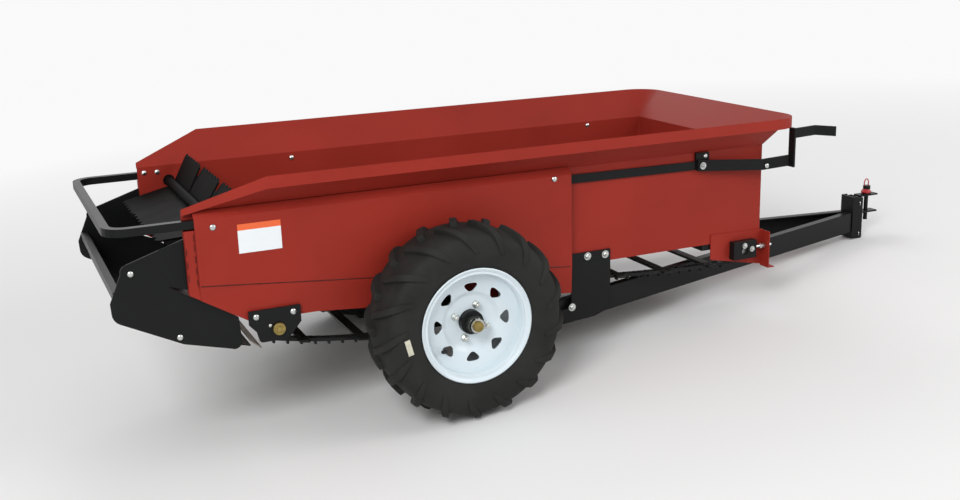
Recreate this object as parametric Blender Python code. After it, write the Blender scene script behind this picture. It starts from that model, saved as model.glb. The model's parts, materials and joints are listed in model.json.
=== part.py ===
"""Compact ground-drive manure spreader, as separate parts in one frame (metres, +Z up).

+X is forward, towards the hitch; +Y is the machine's left. Everything is laid out level, as it is
towed, with the origin on the ground under the axle. The empty "parked" then tips the whole machine
about the axle until the hitch rests on the ground, which is how it stands when unhitched.
"""
import math

import bmesh
import bpy
from mathutils import Matrix, Vector

for old in list(bpy.data.objects):
    bpy.data.objects.remove(old, do_unlink=True)

# ---------------------------------------------------------------- driving dimensions
GAP = 0.0003                 # between pieces that touch
RUN_GAP = 0.0008             # between a turning piece and the pin it turns on

WHEEL_RADIUS = 0.287
TYRE_WIDTH = 0.202
WHEEL_Y = 0.512              # centre plane of each tyre
RIM_BARREL_R = 0.150
RIM_FLANGE_R = 0.168
RIM_HALF_WIDTH = 0.091
LUG_PLANE_Y = 0.546          # outer face of the wheel disc where the nuts sit
DISC_SHEET = 0.004
WINDOW_COUNT = 8
WHEEL_FACETS = 44  # one number for tyre and rim, so that their flats line up
WINDOW_PITCH_R = 0.103
AXLE_R = 0.0155
AXLE_HALF_LENGTH = 0.606

TUB_HALF = 0.376             # outer face of each side wall
TUB_SHEET = 0.003
TUB_BOTTOM_Z = 0.345
CREASE_Z = 0.655             # where the wall turns out into the flare
FLARE_OUT = 0.088
FLARE_UP = 0.087
LIP_DEPTH = 0.026
TUB_REAR_X = -0.745
FLARE_REAR_X = -0.530        # top corner where the flare starts to slope down
TUB_FRONT_X = 1.140
FRONT_CORNER_R = 0.006
REAR_SILL_Z = 0.437          # bottom edge of the side at its rear end
REAR_SILL_X = -0.590         # where that edge has come down to the tub bottom

FLOOR_REAR_X = -0.455
FLOOR_FRONT_X = 1.000
FLOOR_SHEET = 0.0137
CROSSMEMBER_XS = {"rear": -0.36, "middle": 0.30, "front": 0.93}
CROSSMEMBER_SIZE = (0.040, 0.020)

HOUSING_OUT = 0.403          # outer face of the drive housings
HOUSING_SHEET = 0.0025
HOUSING_CREASE_Z = 0.640
HOUSING_REAR_X = -0.717
HOUSING_FRONT_X = 0.410

BEATER_X = -0.648
BEATER_Z = 0.605
BEATER_TUBE_R = 0.014
BEATER_HALF_LENGTH = 0.366
PADDLE_WIDTH = 0.226
PADDLE_SHEET = 0.005
PADDLE_LONG = 0.165          # reach of a paddle's long end from the shaft's axis
PADDLE_SHORT = 0.104
PADDLE_TEETH = 6
PADDLE_ANGLES = (237.0, 188.0)   # degrees, of the long ends of a pair at the middle of the shaft
PADDLE_TWIST = 5.0               # degrees from one pair to the next
TOOTH_DEPTH = 0.011
BEARING_SIZE = 0.086
BEARING_DEPTH = 0.016

SHAFT_Z = 0.311              # both apron shafts
REAR_SHAFT_X = -0.515
FRONT_SHAFT_X = 1.060
APRON_SHAFT_R = 0.0127
SPROCKET_R = 0.0478
SPROCKET_WIDTH = 0.016
CHAIN_Y = 0.322
CHAIN_WIDTH = 0.030
CHAIN_THICK = 0.012
SLAT_WIDTH = 0.032
SLAT_THICK = 0.008
SLAT_OVERHANG = 0.030
UPPER_SLATS = 9
LOWER_SLATS = 9

RAIL_DEPTH = 0.076
RAIL_FLANGE = 0.027
RAIL_SHEET = 0.005
RAIL_REAR = Vector((0.372, 0.375, 0.160))     # outer lower corner, left rail
RAIL_FRONT = Vector((1.8485, 0.0304, 0.191))

HITCH_X = 1.852
HITCH_HALF_WIDTH = 0.0335
HITCH_BOTTOM_Z = 0.163
HITCH_TOP_Z = 0.329
HITCH_DEPTH = 0.024
HITCH_SHEET = 0.006
CLEVIS_UPPER_Z = 0.328
CLEVIS_LOWER_Z = 0.262
CLEVIS_SHEET = 0.006
CLEVIS_REACH = 0.085
CLEVIS_HALF_WIDTH = 0.019
PIN_R = 0.008
PIN_FROM_TIP = 0.040
PIN_BOTTOM_Z = 0.225
PIN_COLLAR_Z = 0.352

GUARD_SIZE = 0.022
GUARD_REAR_X = -0.935
GUARD_Z = 0.628
GUARD_BEND_R = 0.050
GUARD_FRONT_X = -0.700

RED = ("red_paint", (0.36, 0.035, 0.025), 0.38, 0.0)
BLACK = ("black_paint", (0.012, 0.012, 0.013), 0.45, 0.0)
STEEL = ("bright_steel", (0.50, 0.50, 0.50), 0.35, 1.0)
WHITE = ("white_paint", (0.80, 0.83, 0.85), 0.30, 0.0)
RUBBER = ("tyre_rubber", (0.020, 0.020, 0.019), 0.85, 0.0)
WOOD = ("floor_wood", (0.30, 0.21, 0.13), 0.80, 0.0)
PIN_RED = ("pin_red", (0.55, 0.03, 0.03), 0.40, 0.0)
SIDES = {"right": -1, "left": 1}


# ---------------------------------------------------------------- helpers
def material(spec):
    name, colour, roughness, metallic = spec
    found = bpy.data.materials.get(name)
    if found:
        return found
    made = bpy.data.materials.new(name)
    made.use_nodes = True
    shader = made.node_tree.nodes["Principled BSDF"]
    shader.inputs["Base Color"].default_value = (*colour, 1.0)
    shader.inputs["Roughness"].default_value = roughness
    shader.inputs["Metallic"].default_value = metallic
    return made


def park_angle():
    """Nose-down angle about the axle that brings the hitch's lowest corner to the ground."""
    reach = HITCH_X + 2 * HITCH_DEPTH + 2 * GAP
    drop = HITCH_BOTTOM_Z - WHEEL_RADIUS
    return math.atan2(drop, reach) + math.asin(WHEEL_RADIUS / math.hypot(reach, drop))


parked = bpy.data.objects.new("parked", None)
bpy.context.collection.objects.link(parked)
axle_height = Matrix.Translation((0, 0, WHEEL_RADIUS))
parked.matrix_world = axle_height @ Matrix.Rotation(park_angle(), 4, "Y") @ axle_height.inverted()


def finish_mesh(name, bm, spec, origin=(0, 0, 0), smooth_angle=35):
    """Close off a bmesh as a named object whose origin is `origin`, carried by "parked"."""
    bmesh.ops.recalc_face_normals(bm, faces=bm.faces)
    if bm.calc_volume(signed=True) < 0:
        bmesh.ops.reverse_faces(bm, faces=bm.faces)
    bmesh.ops.translate(bm, verts=bm.verts, vec=-Vector(origin))
    mesh = bpy.data.meshes.new(name)
    bm.to_mesh(mesh)
    bm.free()
    mesh.materials.append(material(spec))
    mesh.shade_smooth()
    mesh.set_sharp_from_angle(angle=math.radians(smooth_angle))
    made = bpy.data.objects.new(name, mesh)
    bpy.context.collection.objects.link(made)
    made.location = origin
    made.parent = parked
    return made


def loft(sections, closed=False):
    """Skin equal-length closed outlines; the ends are capped unless the loft closes on itself."""
    bm = bmesh.new()
    rings = [[bm.verts.new(point) for point in section] for section in sections]
    count = len(rings[0])
    pairs = list(zip(rings, rings[1:]))
    if closed:
        pairs.append((rings[-1], rings[0]))
    for first, second in pairs:
        for i in range(count):
            j = (i + 1) % count
            bm.faces.new((first[i], first[j], second[j], second[i]))
    if not closed:
        bm.faces.new(rings[0])
        bm.faces.new(list(reversed(rings[-1])))
    return bm


def plate(outline, y_low, y_high):
    """A flat plate across Y, from an outline of (x, z) points."""
    return loft([[(x, y, z) for x, z in outline] for y in (y_low, y_high)])


def block(x_low, x_high, y_low, y_high, z_low, z_high):
    outline = [(x_low, z_low), (x_high, z_low), (x_high, z_high), (x_low, z_high)]
    return plate(outline, y_low, y_high)


def bent_sheet(line, thickness):
    """Outline of a sheet whose one face follows `line` and whose other face is on its left."""
    points = [Vector(point) for point in line]
    normals = []
    for a, b in zip(points, points[1:]):
        along = (b - a).normalized()
        normals.append(Vector((-along.y, along.x)))
    offset = []
    for i, point in enumerate(points):
        before = normals[max(i - 1, 0)]
        after = normals[min(i, len(normals) - 1)]
        bisector = (before + after).normalized()
        offset.append(point + bisector * (thickness / bisector.dot(after)))
    return [tuple(point) for point in points] + [tuple(point) for point in reversed(offset)]


def arc(centre, radius, start, end, steps):
    """Points along an arc in a plane, both ends included; angles in degrees."""
    points = []
    for i in range(steps + 1):
        angle = math.radians(start + (end - start) * i / steps)
        points.append((centre[0] + radius * math.cos(angle), centre[1] + radius * math.sin(angle)))
    return points


def turned(profile, centre_x, centre_z, segments=40):
    """Turn a closed outline of (radius, y) points about an axis along Y."""
    sections = []
    for i in range(segments):
        angle = 2 * math.pi * i / segments - math.pi / 2
        sections.append([(centre_x + r * math.cos(angle), y, centre_z + r * math.sin(angle))
                         for r, y in profile])
    return loft(sections, closed=True)


def rod(x, z, radius, y_low, y_high, segments=24):
    """A solid round bar along Y."""
    return plate(arc((x, z), radius, 0, 360 * (1 - 1 / segments), segments - 1), y_low, y_high)


def upright_rod(x, y, radius, z_low, z_high, segments=20):
    outline = arc((x, y), radius, 0, 360 * (1 - 1 / segments), segments - 1)
    return loft([[(px, py, z) for px, py in outline] for z in (z_low, z_high)])


def combine(target, name, bm, operation):
    """Join a second closed shape to `target`, or cut it away, with an exact Boolean."""
    tool = finish_mesh(name, bm, BLACK)
    tool.hide_render = True
    tool.display_type = "WIRE"
    step = target.modifiers.new(name, "BOOLEAN")
    step.operation = operation
    step.solver = "EXACT"
    step.object = tool
    return tool


# ---------------------------------------------------------------- tub
def flare_profile(reach):
    """Wall, flare and lip as (outwards from the wall, z), with the flare at a share of its reach."""
    top_z = CREASE_Z + FLARE_UP * reach
    out = FLARE_OUT * reach
    return [(0.0, CREASE_Z), (out, top_z), (out, top_z - LIP_DEPTH * (0.35 + 0.65 * reach))]


def build_tub_side(side, sign):
    # columns: x, share of the flare's full reach, height of the bottom edge
    stations = [(TUB_REAR_X, 0.09, REAR_SILL_Z),
                (REAR_SILL_X, 0.09 + 0.91 * (REAR_SILL_X - TUB_REAR_X) / (FLARE_REAR_X - TUB_REAR_X),
                 TUB_BOTTOM_Z),
                (FLARE_REAR_X, 1.0, TUB_BOTTOM_Z),
                (TUB_FRONT_X - FRONT_CORNER_R - GAP, 1.0, TUB_BOTTOM_Z)]
    sections = []
    for x, reach, bottom in stations:
        line = [(TUB_HALF, bottom)] + [(TUB_HALF + out, z) for out, z in flare_profile(reach)]
        sections.append([(x, sign * y, z) for y, z in bent_sheet(line, TUB_SHEET)])
    wall = finish_mesh(f"tub_side_{side}", loft(sections), RED)
    hole = rod(BEATER_X, BEATER_Z, BEATER_TUBE_R + 0.005, sign * TUB_HALF - 0.01, sign * TUB_HALF + 0.01)
    combine(wall, f"shaft_hole_{side}", hole, "DIFFERENCE")


def build_front_panel():
    """Front wall with its flare, turned round both front corners to meet the sides."""
    corner_x = TUB_FRONT_X - FRONT_CORNER_R
    corner_y = TUB_HALF - FRONT_CORNER_R
    line = [(FRONT_CORNER_R, TUB_BOTTOM_Z)]
    line += [(FRONT_CORNER_R + out, z) for out, z in flare_profile(1.0)]
    outline = bent_sheet(line, TUB_SHEET)
    corner_steps = 7
    sections = []
    for sign in (-1, 1):
        for i in range(corner_steps + 1):
            share = i / corner_steps if sign < 0 else 1 - i / corner_steps
            angle = sign * math.radians(90 * (1 - share))
            sections.append([(corner_x + out * math.cos(angle), sign * corner_y + out * math.sin(angle), z)
                             for out, z in outline])
    finish_mesh("front_panel", loft(sections), RED, smooth_angle=25)


def build_floor():
    inside = TUB_HALF - TUB_SHEET - GAP
    finish_mesh("tub_floor", block(FLOOR_REAR_X, FLOOR_FRONT_X, -inside, inside,
                                   TUB_BOTTOM_Z, TUB_BOTTOM_Z + FLOOR_SHEET), WOOD)
    length, height = CROSSMEMBER_SIZE
    for place, x in CROSSMEMBER_XS.items():
        finish_mesh(f"floor_crossmember_{place}",
                    block(x - length / 2, x + length / 2, -inside, inside,
                          TUB_BOTTOM_Z - GAP - height, TUB_BOTTOM_Z - GAP), BLACK)


# ---------------------------------------------------------------- drive housings and rear posts
def build_housing(side, sign):
    # columns: x, height of the lower crease, height of the bottom edge
    stations = [(HOUSING_REAR_X, 0.459, 0.4185),
                (REAR_SILL_X, 0.447, 0.340),
                (-0.400, 0.428, 0.338),
                (HOUSING_FRONT_X, 0.352, 0.266)]
    sections = []
    for x, crease, bottom in stations:
        line = [(HOUSING_OUT - 0.006, bottom), (HOUSING_OUT, crease),
                (HOUSING_OUT, HOUSING_CREASE_Z), (HOUSING_OUT - 0.0170, HOUSING_CREASE_Z + 0.0205)]
        sections.append([(x, sign * y, z) for y, z in bent_sheet(line, HOUSING_SHEET)])
    cover = finish_mesh(f"drive_housing_{side}", loft(sections), RED)
    notch = rod(0, WHEEL_RADIUS, 0.045, sign * HOUSING_OUT - 0.02, sign * HOUSING_OUT + 0.02, 32)
    combine(cover, f"axle_notch_{side}", notch, "DIFFERENCE")


def build_rear_post(side, sign):
    """Folded strip that closes the rear end of the housing; it holds the rear side plate."""
    outline = [(TUB_REAR_X, REAR_SILL_Z), (HOUSING_REAR_X - GAP, 0.4200),
               (HOUSING_REAR_X - GAP, 0.612), (TUB_REAR_X, 0.612)]
    inner = TUB_HALF + GAP + SIDE_PLATE_SHEET + GAP
    low, high = sorted((sign * inner, sign * (HOUSING_OUT - 0.004)))
    finish_mesh(f"rear_post_{side}", plate(outline, low, high), RED)


# ---------------------------------------------------------------- rear side plates, pan and guard
SIDE_PLATE_SHEET = 0.005
PAN_SHEET = 0.003


def build_side_plate(side, sign):
    outline = [(-0.719, 0.590), (-0.742, 0.590), (-0.896, 0.540)]
    outline += arc((-0.894, 0.519), 0.020, 100, 190, 4)
    outline += [(-0.947, 0.440)]
    outline += arc((-0.912, 0.412), 0.034, 178, 243, 4)
    outline += [(-0.770, 0.300), (-0.640, 0.264)]
    outline += arc((-0.634, 0.284), 0.022, 262, 350, 4)
    outline += [(-0.617, 0.352), (-0.719, 0.4200), (-0.7455, 0.4315), (-0.796, 0.466),
                (-0.7455, 0.4500), (-0.719, 0.4480)]
    inner = TUB_HALF + GAP
    low, high = sorted((sign * inner, sign * (inner + SIDE_PLATE_SHEET)))
    finish_mesh(f"rear_side_plate_{side}", plate(outline, low, high), BLACK)


def build_pan():
    """Sheet that runs under the beater, its stiffening bar, and the strip along its front edge."""
    half = TUB_HALF - GAP
    line = [(-0.590, 0.262), (-0.770, 0.309), (-0.922, 0.398), (-0.926, 0.448)]
    outline = bent_sheet(line, -PAN_SHEET)
    finish_mesh("rear_pan", plate(outline, -half, half), BLACK)
    bar = 0.020
    finish_mesh("rear_pan_bar", block(-0.937, -0.937 + bar, -half, half, 0.4485, 0.4485 + bar), BLACK)
    strip = [(-0.5615, 0.250), (-0.5585, 0.252), (-0.5880, 0.2775), (-0.5900, 0.2750)]
    finish_mesh("pan_front_strip", plate(strip, -half, half), STEEL)


def build_guard():
    """Square-tube hoop behind the beater, with both arms along the outside of the tub walls."""
    half = GUARD_SIZE / 2
    arm_y = TUB_HALF + GAP + half
    turn_x = GUARD_REAR_X + GUARD_BEND_R
    path = [((GUARD_FRONT_X, -arm_y), (0, -1))]
    for sign, start, end in ((-1, 270, 180), (1, 180, 90)):
        centre = (turn_x, sign * (arm_y - GUARD_BEND_R))
        for point in arc(centre, GUARD_BEND_R, start, end, 6):
            outward = (point[0] - centre[0], point[1] - centre[1])
            path.append((point, (outward[0] / GUARD_BEND_R, outward[1] / GUARD_BEND_R)))
    path.append(((GUARD_FRONT_X, arm_y), (0, 1)))
    sections = []
    for (x, y), (out_x, out_y) in path:
        sections.append([(x + out_x * across, y + out_y * across, GUARD_Z + up)
                         for across, up in ((-half, -half), (half, -half), (half, half), (-half, half))])
    finish_mesh("rear_guard", loft(sections), BLACK)


# ---------------------------------------------------------------- beater
def paddle_outline():
    """One flat paddle, (along the shaft, along its length), with a saw edge at both ends."""
    half = PADDLE_WIDTH / 2
    tooth = PADDLE_WIDTH / PADDLE_TEETH
    points = []
    for i in range(PADDLE_TEETH):
        start = -half + i * tooth
        points += [(start, PADDLE_LONG - TOOTH_DEPTH), (start + 0.35 * tooth, PADDLE_LONG)]
    points.append((half, PADDLE_LONG - TOOTH_DEPTH))
    for i in range(PADDLE_TEETH):
        start = half - i * tooth
        points += [(start, -PADDLE_SHORT + TOOTH_DEPTH), (start - 0.35 * tooth, -PADDLE_SHORT)]
    points.append((-half, -PADDLE_SHORT + TOOTH_DEPTH))
    return points


def build_beater():
    """Shaft with three pairs of crossed paddles, each pair turned a little on from the last."""
    axis = (BEATER_X, 0, BEATER_Z)
    shaft = finish_mesh("beater_shaft", rod(BEATER_X, BEATER_Z, BEATER_TUBE_R, -BEATER_HALF_LENGTH,
                                            BEATER_HALF_LENGTH), STEEL, origin=axis)
    stub_radius = BEATER_TUBE_R - 0.002
    end = TUB_HALF + GAP + BEARING_DEPTH
    combine(shaft, "beater_journals", rod(BEATER_X, BEATER_Z, stub_radius, -end, end), "UNION")
    spacing = PADDLE_WIDTH + 0.010
    for place in range(3):
        y = (place - 1) * spacing
        for pair, base_angle in enumerate(PADDLE_ANGLES):
            angle = math.radians(base_angle - PADDLE_TWIST * (1 - place))
            along = Vector((math.cos(angle), 0, math.sin(angle)))
            normal = Vector((-math.sin(angle), 0, math.cos(angle)))
            # the first of a pair lies against the front of the shaft, the second under it
            stand_off = BEATER_TUBE_R * 0.8
            sections = []
            for depth in (0.0, PADDLE_SHEET):
                sections.append([Vector(axis) + Vector((0, y + across, 0)) + along * reach
                                 + normal * (stand_off + depth) for across, reach in paddle_outline()])
            combine(shaft, f"paddle_{place}_{pair}", loft(sections), "UNION")


def build_beater_bearing(side, sign):
    half = BEARING_SIZE / 2
    low, high = sorted((sign * (TUB_HALF + GAP), sign * (TUB_HALF + GAP + BEARING_DEPTH)))
    body = finish_mesh(f"beater_bearing_{side}",
                       block(BEATER_X - half, BEATER_X + half, low, high, BEATER_Z - half, BEATER_Z + half),
                       BLACK)
    bore = rod(BEATER_X, BEATER_Z, BEATER_TUBE_R - 0.002 + RUN_GAP, low - 0.01, high + 0.01)
    combine(body, f"bearing_bore_{side}", bore, "DIFFERENCE")


# ---------------------------------------------------------------- apron chain
def sag(share, depth):
    return depth * 4 * share * (1 - share)


def upper_line():
    z = SHAFT_Z + SPROCKET_R
    return [(REAR_SHAFT_X, z), (FRONT_SHAFT_X, z)]


def lower_line():
    """Return run, hanging from the rear shaft to the middle crossmember and on to the front shaft."""
    z = SHAFT_Z - SPROCKET_R - CHAIN_THICK
    middle_x, middle_z = 0.42, 0.288
    points = []
    for i in range(9):
        share = i / 8
        x = REAR_SHAFT_X + (middle_x - REAR_SHAFT_X) * share
        points.append((x, z + (middle_z - z) * share - sag(share, 0.064)))
    for i in range(1, 7):
        share = i / 6
        x = middle_x + (FRONT_SHAFT_X - middle_x) * share
        points.append((x, middle_z + (z - middle_z) * share - sag(share, 0.010)))
    return points


def point_along(line, share):
    """Place and direction at a share of a polyline's length."""
    lengths = [math.dist(a, b) for a, b in zip(line, line[1:])]
    target = share * sum(lengths)
    for a, b, length in zip(line, line[1:], lengths):
        if target <= length:
            t = target / length
            along = ((b[0] - a[0]) / length, (b[1] - a[1]) / length)
            return (a[0] + (b[0] - a[0]) * t, a[1] + (b[1] - a[1]) * t), along
        target -= length
    return b, along


def build_apron_run(name, line, slat_count, slat_side):
    """Two chain strands joined by slats; `line` is the strands' lower face."""
    half = CHAIN_WIDTH / 2
    outline = bent_sheet(line, CHAIN_THICK)
    strand = finish_mesh(name, plate(outline, CHAIN_Y - half, CHAIN_Y + half), BLACK)
    combine(strand, f"{name}_right_strand", plate(outline, -CHAIN_Y - half, -CHAIN_Y + half), "UNION")
    reach = CHAIN_Y + SLAT_OVERHANG
    for i in range(slat_count):
        (x, z), (ax, az) = point_along(line, (i + 0.5) / slat_count)
        outline = []
        for along, up in ((-0.5, -0.5), (0.5, -0.5), (0.5, 0.5), (-0.5, 0.5)):
            shift = along * SLAT_WIDTH
            rise = CHAIN_THICK / 2 + slat_side * 0.001 + up * SLAT_THICK
            outline.append((x + ax * shift - az * rise, z + az * shift + ax * rise))
        combine(strand, f"{name}_slat_{i}", plate(outline, -reach, reach), "UNION")


def build_apron_shaft(place, x):
    end = HOUSING_OUT + 0.014 if place == "rear" else HOUSING_OUT - 0.009
    shaft = finish_mesh(f"apron_shaft_{place}", rod(x, SHAFT_Z, APRON_SHAFT_R, -end, end), STEEL)
    for side, sign in SIDES.items():
        wheel = rod(x, SHAFT_Z, SPROCKET_R - GAP, sign * CHAIN_Y - SPROCKET_WIDTH / 2,
                    sign * CHAIN_Y + SPROCKET_WIDTH / 2, 16)
        combine(shaft, f"{place}_sprocket_{side}", wheel, "UNION")


# ---------------------------------------------------------------- brackets under the tub
BRACKET_SHEET = 0.005


def build_shaft_bracket(side, sign):
    """Plate bolted outside the drive housing that carries the end of the rear apron shaft."""
    x = REAR_SHAFT_X
    z = SHAFT_Z
    outline = [(x - 0.081, z + 0.059), (x - 0.081, z + 0.020), (x - 0.061, z - 0.003)]
    outline += arc((x - 0.046, z - 0.024), 0.010, 200, 270, 3)
    outline += arc((x + 0.022, z - 0.024), 0.010, 270, 340, 3)
    outline += [(x + 0.065, z + 0.011), (x + 0.065, z + 0.059)]
    inner = HOUSING_OUT + GAP
    low, high = sorted((sign * inner, sign * (inner + BRACKET_SHEET)))
    made = finish_mesh(f"apron_shaft_bracket_{side}", plate(outline, low, high), BLACK)
    hole = rod(x, SHAFT_Z, APRON_SHAFT_R + GAP, low - 0.01, high + 0.01)
    combine(made, f"bracket_hole_{side}", hole, "DIFFERENCE")


def build_axle_bracket(side, sign):
    """Plate and bearing block that carry the axle under the tub side."""
    outline = [(-0.070, 0.430), (-0.070, 0.330), (-0.040, 0.258), (0.040, 0.258),
               (0.070, 0.330), (0.070, 0.430)]
    inner = TUB_HALF + GAP
    low, high = sorted((sign * inner, sign * (inner + 0.008)))
    made = finish_mesh(f"axle_bracket_{side}", plate(outline, low, high), BLACK)
    boss_low, boss_high = sorted((sign * (inner - 0.020), sign * (inner + 0.018)))
    boss = rod(0, WHEEL_RADIUS, 0.029, boss_low, boss_high)
    combine(made, f"axle_boss_{side}", boss, "UNION")
    bore = rod(0, WHEEL_RADIUS, AXLE_R + GAP, boss_low - 0.01, boss_high + 0.01)
    combine(made, f"axle_bore_{side}", bore, "DIFFERENCE")


def build_frame_bracket(side, sign):
    """Upright plate that joins the tub side to the rear end of the tongue rail."""
    outline = [(0.418, 0.384), (0.418, 0.215), (0.372, 0.205), (0.372, 0.162), (0.500, 0.172),
               (0.540, 0.185), (0.558, 0.215), (0.558, 0.384)]
    inner = TUB_HALF + GAP
    low, high = sorted((sign * inner, sign * (inner + 0.006)))
    finish_mesh(f"frame_bracket_{side}", plate(outline, low, high), BLACK)


def build_flap_bracket(side, sign):
    """Folded red plate at the front lower corner: wall plate, outward flange and foot lip."""
    inner = TUB_HALF + GAP
    sheet = 0.003
    flange_x = TUB_FRONT_X + 0.007
    low, high = sorted((sign * inner, sign * (inner + sheet)))
    outline = [(0.940, 0.376), (0.940, 0.292), (flange_x, 0.250), (flange_x, 0.371)]
    wall = finish_mesh(f"front_bracket_{side}", plate(outline, low, high), RED)
    low, high = sorted((sign * inner, sign * (inner + 0.044)))
    flange = block(flange_x - sheet, flange_x, low, high, 0.248, 0.369)
    combine(wall, f"front_bracket_flange_{side}", flange, "UNION")
    foot = block(flange_x - sheet, flange_x + 0.022, low, high, 0.2455, 0.2485)
    combine(wall, f"front_bracket_foot_{side}", foot, "UNION")
    hole = rod(FRONT_SHAFT_X, SHAFT_Z, APRON_SHAFT_R + 0.008, sign * TUB_HALF - 0.02, sign * TUB_HALF + 0.02)
    combine(wall, f"front_bracket_slot_{side}", hole, "DIFFERENCE")


def build_tensioner(side, sign):
    """Bearing block of the front apron shaft and its take-up bolt through the flange."""
    inner = TUB_HALF + GAP + 0.003 + GAP
    low, high = sorted((sign * inner, sign * (inner + 0.026)))
    made = finish_mesh(f"chain_tensioner_{side}", block(FRONT_SHAFT_X - 0.045, FRONT_SHAFT_X + 0.045, low,
                                                        high, SHAFT_Z - 0.026, SHAFT_Z + 0.034), BLACK)
    bore = rod(FRONT_SHAFT_X, SHAFT_Z, APRON_SHAFT_R + GAP, low - 0.01, high + 0.01)
    combine(made, f"tensioner_bore_{side}", bore, "DIFFERENCE")


# ---------------------------------------------------------------- tongue and hitch
def build_rail(side, sign):
    """C-channel with its web outside, running in from the tub side to the hitch."""
    run = RAIL_FRONT - RAIL_REAR
    inward = Vector((run.y, -run.x, 0)).normalized() * -1
    if inward.y > 0:
        inward = -inward
    outline = [(0, 0), (RAIL_FLANGE, 0), (RAIL_FLANGE, RAIL_SHEET), (RAIL_SHEET, RAIL_SHEET),
               (RAIL_SHEET, RAIL_DEPTH - RAIL_SHEET), (RAIL_FLANGE, RAIL_DEPTH - RAIL_SHEET),
               (RAIL_FLANGE, RAIL_DEPTH), (0, RAIL_DEPTH)]
    sections = []
    for end in (RAIL_REAR, RAIL_FRONT):
        section = []
        for inset, up in outline:
            # both ends are cut square to X, so an inset moves sideways only
            point = end + Vector((0, inset / inward.y * inward.length ** 2 * -1, 0)) * -1
            section.append((point.x, sign * point.y, point.z + up))
        sections.append(section)
    finish_mesh(f"tongue_rail_{side}", loft(sections), BLACK)


def channel_outline(x_web, x_open, half_width, sheet):
    """C-channel seen from above, as (x, y), with its web at x_web."""
    step = sheet if x_open > x_web else -sheet
    return [(x_web, -half_width), (x_open, -half_width), (x_open, -half_width + sheet),
            (x_web + step, -half_width + sheet), (x_web + step, half_width - sheet),
            (x_open, half_width - sheet), (x_open, half_width), (x_web, half_width)]


def build_hitch():
    back = channel_outline(HITCH_X, HITCH_X + HITCH_DEPTH, HITCH_HALF_WIDTH, HITCH_SHEET)
    finish_mesh("hitch_channel", loft([[(x, y, z) for x, y in back]
                                       for z in (HITCH_BOTTOM_Z + 0.003, HITCH_TOP_Z)]), BLACK)
    front_x = HITCH_X + 2 * HITCH_DEPTH + GAP
    front = channel_outline(front_x, front_x - HITCH_DEPTH, HITCH_HALF_WIDTH, HITCH_SHEET)
    finish_mesh("hitch_bracket", loft([[(x, y, z) for x, y in front]
                                       for z in (HITCH_BOTTOM_Z, HITCH_TOP_Z - 0.006)]), BLACK)
    root_x = front_x + GAP
    tip_x = root_x + CLEVIS_REACH
    arm = CLEVIS_SHEET
    outline = [(root_x, CLEVIS_LOWER_Z - arm), (tip_x, CLEVIS_LOWER_Z - arm), (tip_x, CLEVIS_LOWER_Z),
               (root_x + arm, CLEVIS_LOWER_Z), (root_x + arm, CLEVIS_UPPER_Z - arm),
               (tip_x, CLEVIS_UPPER_Z - arm), (tip_x, CLEVIS_UPPER_Z), (root_x, CLEVIS_UPPER_Z)]
    clevis = finish_mesh("hitch_clevis", plate(outline, -CLEVIS_HALF_WIDTH, CLEVIS_HALF_WIDTH), BLACK)
    pin_x = tip_x - PIN_FROM_TIP
    hole = upright_rod(pin_x, 0, PIN_R + RUN_GAP, CLEVIS_LOWER_Z - 0.02, CLEVIS_UPPER_Z + 0.02)
    combine(clevis, "clevis_hole", hole, "DIFFERENCE")
    pin = finish_mesh("hitch_pin", upright_rod(pin_x, 0, PIN_R, PIN_BOTTOM_Z, PIN_COLLAR_Z), PIN_RED)
    collar = upright_rod(pin_x, 0, 0.018, CLEVIS_UPPER_Z + GAP, CLEVIS_UPPER_Z + 0.006)
    combine(pin, "pin_collar", collar, "UNION")
    head = upright_rod(pin_x, 0, 0.014, PIN_COLLAR_Z - 0.006, PIN_COLLAR_Z + 0.008)
    combine(pin, "pin_head", head, "UNION")


# ---------------------------------------------------------------- clutch lever linkage (right side only)
def flat_bar(path, height, thickness, name, spec=BLACK):
    """Upright flat bar through plan points (x, y, z of its centre line)."""
    outline = bent_sheet([(x, y) for x, y, _ in path], thickness)
    count = len(path)
    bm = bmesh.new()
    rings = []
    for up in (-height / 2, height / 2):
        ring = []
        for i, (x, y) in enumerate(outline):
            z = path[i][2] if i < count else path[2 * count - 1 - i][2]
            ring.append(bm.verts.new((x, y, z + up)))
        rings.append(ring)
    size = len(outline)
    for i in range(size):
        j = (i + 1) % size
        bm.faces.new((rings[0][i], rings[0][j], rings[1][j], rings[1][i]))
    for i in range(count - 1):
        a, b, c, d = i, i + 1, 2 * count - 2 - i, 2 * count - 1 - i
        bm.faces.new([rings[0][k] for k in (d, c, b, a)])
        bm.faces.new([rings[1][k] for k in (a, b, c, d)])
    return finish_mesh(name, bm, spec)


def build_lever():
    front = TUB_FRONT_X
    wall = -(TUB_HALF + GAP)
    pivot = block(front - 0.268, front - 0.218, wall - 0.008, wall, 0.600, 0.654)
    finish_mesh("lever_pivot_bracket", pivot, BLACK)
    flat_bar([(HOUSING_FRONT_X + 0.004, wall - 0.006, 0.620), (front - 0.269, wall - 0.006, 0.614)], 0.027,
             0.005, "clutch_bar")
    flat_bar([(front - 0.264, wall - 0.0150, 0.615), (front - 0.03, wall - 0.040, 0.598),
              (front + 0.059, wall - 0.060, 0.606)], 0.036, 0.006, "clutch_lever_arm")
    strap = block(front + 0.0635, front + 0.0695, wall - 0.078, wall - 0.050, 0.585, 0.7135)
    finish_mesh("clutch_lever_strap", strap, BLACK)
    flat_bar([(front + 0.07, wall - 0.066, 0.694), (front + 0.157, wall - 0.066, 0.697),
              (front + 0.21, wall - 0.105, 0.693)], 0.032, 0.006, "clutch_handle")


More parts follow.
